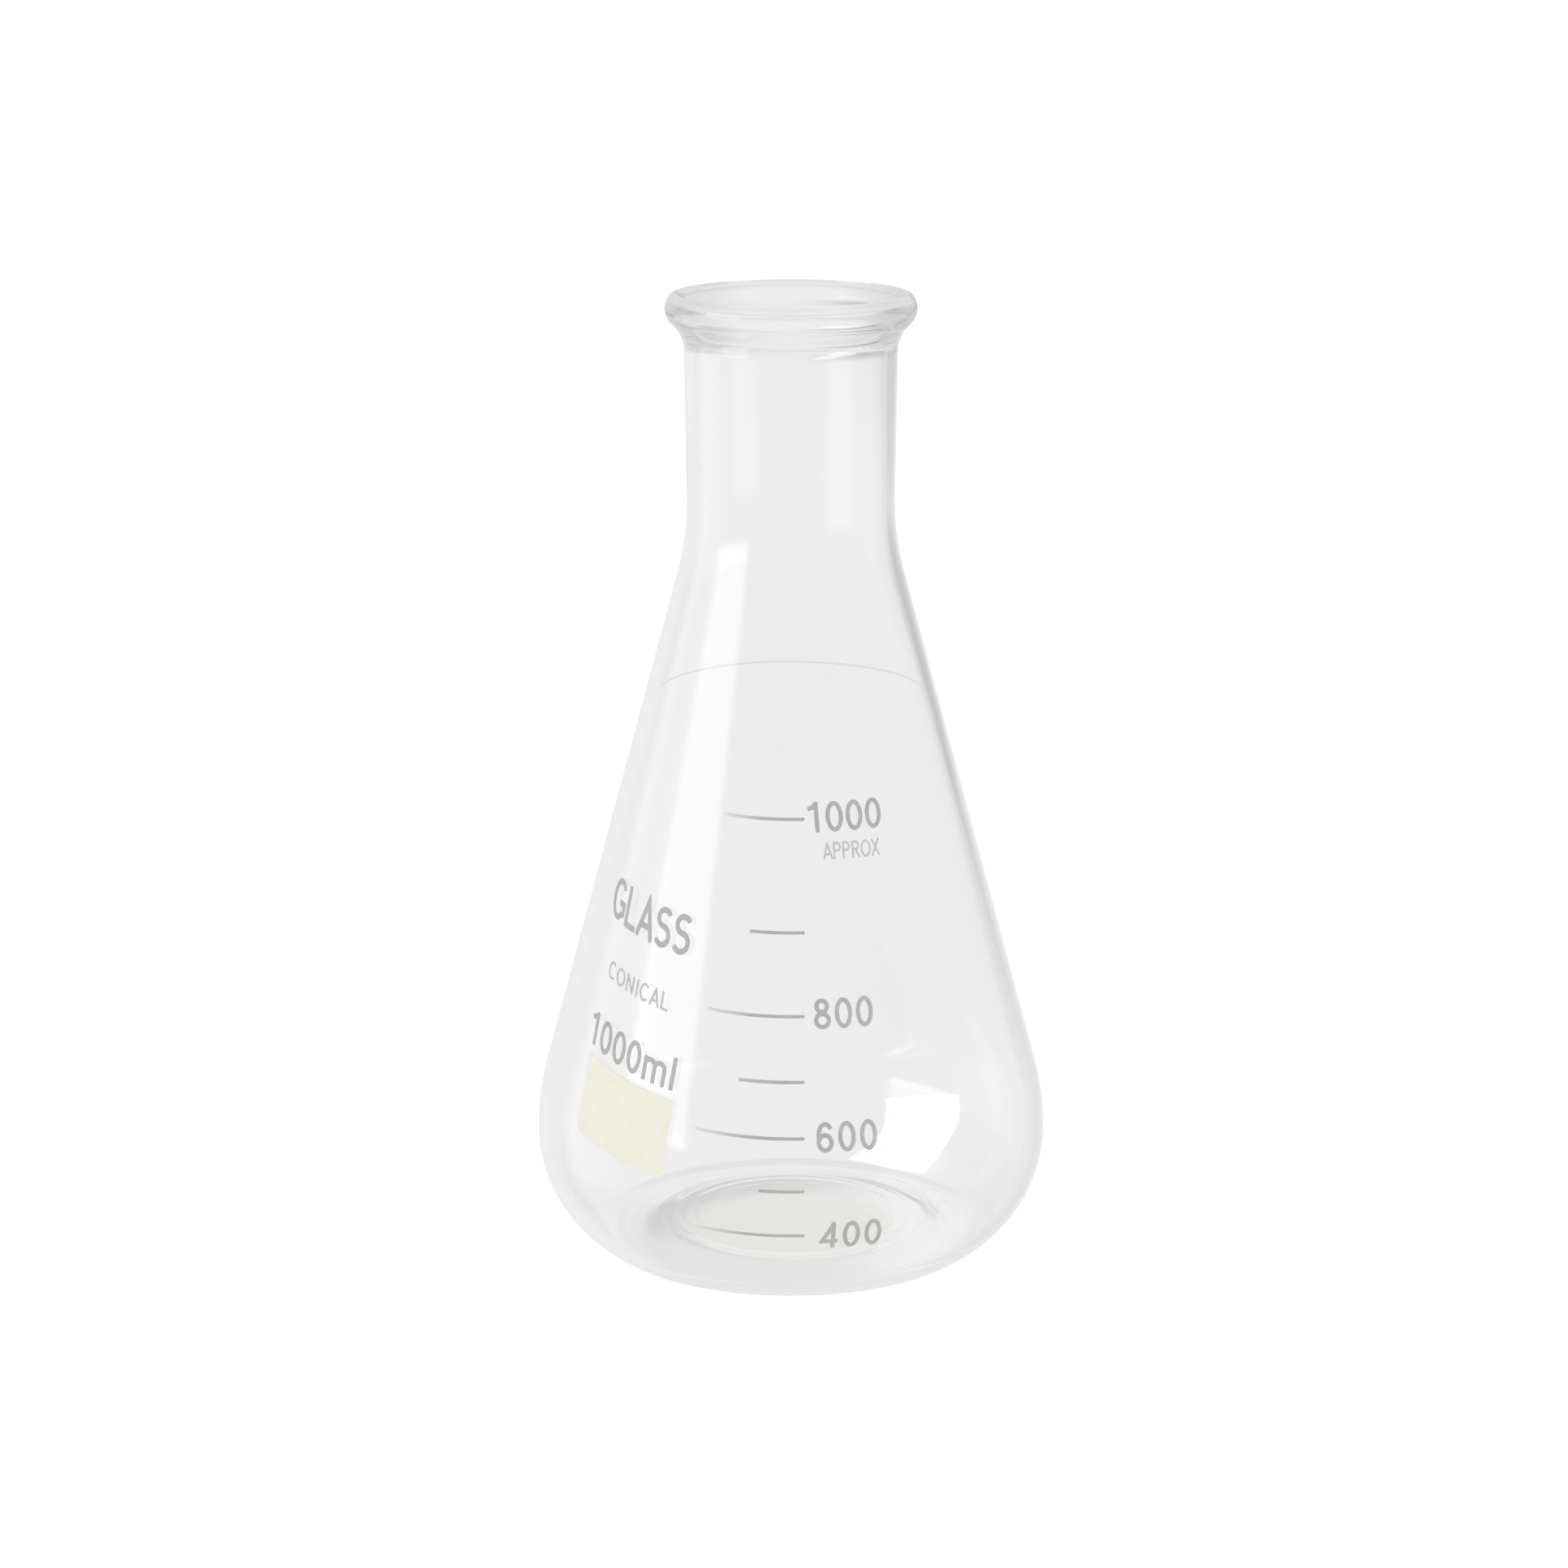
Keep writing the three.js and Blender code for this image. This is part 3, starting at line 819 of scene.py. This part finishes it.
def enamel_material(name, thick, thin, roughness, grain, grain_depth, painted_highlight=None):
    """Fired enamel, finely uneven, with a colour that varies with the density of the print.

    Where a highlight colour is given, the print pales towards it to the left of the front, a painted
    highlight.
    """
    material, tree = new_material(name)
    clouds = object_noise(tree, CLOUD_SCALE, detail=4, roughness=0.6)
    pores = smooth_step(tree, object_noise(tree, grain, roughness=0.7), *PORE_RANGE)
    density = smooth_step(tree, clouds, *CLOUD_RANGE)
    worn = math_node(tree, "MULTIPLY", pores, PORE_THINNING)
    sparse = math_node(tree, "SUBTRACT", 1.0, density)
    share = math_node(tree, "MULTIPLY_ADD", sparse, CLOUD_THINNING, worn, clamp=True)
    colour = mix_colour(tree, share, (*thick, 1), (*thin, 1))
    # Painted highlight: the print pales to the left of the front
    if painted_highlight:
        parts = split(tree, object_place(tree))
        front = math_node(tree, "MULTIPLY", parts["Y"], -1.0)
        turn = degrees_of(tree, "ARCTAN2", parts["X"], front)
        colour = mix_colour(tree, smooth_step(tree, turn, *HIGHLIGHT_TURNS), colour, (*painted_highlight, 1))
    bump = {"Height": object_noise(tree, grain), "Strength": GRAIN_STRENGTH, "Distance": grain_depth}
    looks = {
        "Base Color": colour,
        "Roughness": math_node(tree, "MULTIPLY_ADD", clouds, ROUGHNESS_SPREAD, roughness),
        "IOR": ENAMEL_IOR,
        "Normal": add_node(tree, "ShaderNodeBump", bump).outputs["Normal"],
    }
    surface = add_node(tree, "ShaderNodeBsdfPrincipled", looks).outputs[0]
    add_node(tree, "ShaderNodeOutputMaterial", {"Surface": surface})
    return material


GLASS = glass_material()
GREY = enamel_material("grey_fired_enamel", DARK_GREY, MID_GREY, *FINE_ENAMEL)
LINES = enamel_material("grey_enamel_painted_highlight", DARK_GREY, MID_GREY, *FINE_ENAMEL, PAINTED_HIGHLIGHT_GREY)
PALE = enamel_material("pale_fired_enamel", MID_GREY, PALE_GREY, *PALE_ENAMEL)
CREAM = enamel_material("cream_writing_enamel", THICK_CREAM, THIN_CREAM, *MATT_ENAMEL)

# ---- The flask ----

glass_mesh(GLASS)

for volume, (z, length) in GRADUATIONS.items():
    node = f"graduation_line_{volume}"
    band(node, LINE_END - length, LINE_END, z, LINE_WIDTH, LETTER_CELL, LINES, "grey_enamel")

for text, (angle, z, width) in NUMERALS.items():
    name = f"numeral_{text}_digit"
    write(name, text, BOLD_PEN, GREY, "grey_enamel", NUMERAL_HEIGHT, angle, z, width)

write("approx_word_letter", "APPROX", SMALL_PEN, PALE, "pale_grey_enamel", *APPROX_PLACE)
write("glass_word_letter", "GLASS", BOLD_PEN, GREY, "grey_enamel", *GLASS_PLACE)
write("shape_word_letter", "CONICAL", SMALL_PEN, PALE, "pale_grey_enamel", *CONICAL_PLACE)
write("capacity_character", "1000ml", BOLD_PEN, GREY, "grey_enamel", *CAPACITY_PLACE)
band("marking_panel", *PANEL_PLACE, PANEL_CELL, CREAM, "cream_enamel")

# ---- Stage ----


def soft_box(tree, turn, rise, left, right, low, high, blur, strength):
    """Light from a soft-edged patch of directions."""
    sides = product(
        tree,
        smooth_step(tree, turn, left - blur, left + blur),
        smooth_step(tree, turn, right + blur, right - blur),
    )
    ends = product(
        tree,
        smooth_step(tree, rise, low - blur, low + blur),
        smooth_step(tree, rise, high + blur, high - blur),
    )
    return product(tree, sides, ends, strength)


def studio_world():
    """White to the camera, even for soft shading, and a studio with soft boxes for mirrored and bent rays.

    The studio turns with the camera: turn 0 lies behind the flask, and 180 degrees behind the camera.
    """
    world = bpy.data.worlds.new("studio")
    bpy.context.scene.world = world
    world.use_nodes = True
    world.cycles.sampling_method = "NONE"
    tree = world.node_tree
    tree.nodes.clear()
    direction = add_node(tree, "ShaderNodeTexCoord").outputs["Generated"]
    up = split(tree, direction)["Z"]
    parts = camera_parts(tree, direction)
    away = math_node(tree, "MULTIPLY_ADD", up, math.sin(CAMERA_PITCH), parts["Z"])
    turn = degrees_of(tree, "ARCTAN2", parts["X"], away)
    rise = degrees_of(tree, "ARCSINE", up)
    light = ROOM
    for box in SOFT_BOXES:
        light = math_node(tree, "ADD", soft_box(tree, turn, rise, *box), light)
    path = add_node(tree, "ShaderNodeLightPath").outputs
    through_glass = math_node(tree, "MAXIMUM", path["Is Glossy Ray"], path["Is Transmission Ray"])
    level = mix_number(tree, through_glass, SOFT_LIGHT, light)
    level = mix_number(tree, path["Is Camera Ray"], level, PAPER_WHITE)
    white = add_node(tree, "ShaderNodeBackground", {"Color": WHITE, "Strength": level}).outputs[0]
    add_node(tree, "ShaderNodeOutputWorld", {"Surface": white})


def under_light(tree, place, radius):
    """Brightness of the floor under the base, a painted shadow: painted shade on the camera's far left, and
    painted light on its right and at the outer edge of the shaded side.
    """
    parts = camera_parts(tree, place)
    outside_middle = smooth_step(tree, radius, *UNDER_MIDDLE)
    across = math_node(tree, "MULTIPLY", parts["X"], SHADE_SIDE[0])
    far_left = math_node(tree, "MULTIPLY_ADD", parts["Z"], SHADE_SIDE[1], across)
    on_left = smooth_step(tree, far_left, *SHADE_START)
    shade = product(tree, outside_middle, smooth_step(tree, radius, *SHADE_END), on_left)
    edge = product(tree, on_left, smooth_step(tree, radius, *EDGE_START))
    lift = product(tree, smooth_step(tree, parts["X"], *LIFT_START), outside_middle)
    strength = math_node(tree, "MULTIPLY_ADD", shade, UNDER_SHADE, UNDER_LIGHT)
    strength = math_node(tree, "MULTIPLY_ADD", lift, UNDER_LIFT, strength)
    return math_node(tree, "MULTIPLY_ADD", edge, UNDER_EDGE_LIGHT, strength)


def floor_material():
    """Pale and even to the camera. Rays that left the glass see only the patch under the flask, a painted
    shadow with painted shade and light.
    """
    material, tree = new_material("pale_floor")
    place = object_place(tree)
    radius = length_of(tree, place)
    tint = mix_colour(tree, smooth_step(tree, radius, *UNDER_MIDDLE), UNDER_MIDDLE_TINT, UNDER_TINT)
    # Painted shadow under the base, seen only through the glass
    painted_shadow_patch = emission(tree, under_light(tree, place, radius), tint)
    through = add_node(tree, "ShaderNodeBsdfTransparent").outputs[0]
    below = mix_shader(tree, smooth_step(tree, radius, *UNDER_END), painted_shadow_patch, through)
    path = add_node(tree, "ShaderNodeLightPath").outputs
    surface = mix_shader(tree, path["Is Camera Ray"], below, emission(tree, PAPER_WHITE))
    add_node(tree, "ShaderNodeOutputMaterial", {"Surface": surface})
    return material


def floor():
    place = (0, 0, -FLOOR_DROP)
    bpy.ops.mesh.primitive_circle_add(vertices=96, radius=FLOOR_RADIUS, fill_type="NGON", location=place)
    disc = bpy.context.object
    disc.name = "floor"
    disc.data.materials.append(floor_material())


def camera():
    data = bpy.data.cameras.new("camera")
    data.sensor_width = 36
    data.lens = CAMERA_LENS
    data.shift_x = CAMERA_SHIFT
    made = bpy.data.objects.new("camera", data)
    made.location = CAMERA_PLACE
    made.rotation_euler = (math.pi / 2 - CAMERA_PITCH, 0, 0)
    bpy.context.scene.collection.objects.link(made)
    bpy.context.scene.camera = made


def light_card():
    """A low card to the right of the camera that turns with it, mirrored only in the outside of the glass."""
    material, tree = new_material("card_light")
    material.cycles.emission_sampling = "NONE"
    add_node(tree, "ShaderNodeOutputMaterial", {"Surface": emission(tree, CARD_LIGHT)})
    sine, cosine = math.sin(CARD_TURN), math.cos(CARD_TURN)
    corners = [
        (CARD_DISTANCE * sine + along * cosine, CARD_DISTANCE * cosine - along * sine, up)
        for along, up in CARD_OUTLINE
    ]
    mesh = bpy.data.meshes.new("light_card")
    mesh.from_pydata(corners, [], [(0, 1, 2, 3)])
    mesh.materials.append(material)
    card = bpy.data.objects.new("light_card", mesh)
    bpy.context.scene.collection.objects.link(card)
    card.visible_camera = False
    card.visible_diffuse = False
    card.visible_shadow = False
    card.visible_transmission = False
    follow = card.constraints.new("COPY_ROTATION")
    follow.target = bpy.context.scene.camera
    follow.use_x = False
    follow.use_y = False


def light_paths():
    """Enough bounces for glass behind glass, and plain colours."""
    scene = bpy.context.scene
    scene.view_settings.view_transform = "Standard"
    scene.cycles.max_bounces = GLASS_BOUNCES
    scene.cycles.transmission_bounces = GLASS_BOUNCES
    scene.cycles.glossy_bounces = GLASS_BOUNCES
    scene.cycles.transparent_max_bounces = 16
    scene.cycles.caustics_reflective = True
    scene.cycles.caustics_refractive = True
    scene.cycles.use_denoising = True


studio_world()
floor()
camera()
light_card()
light_paths()
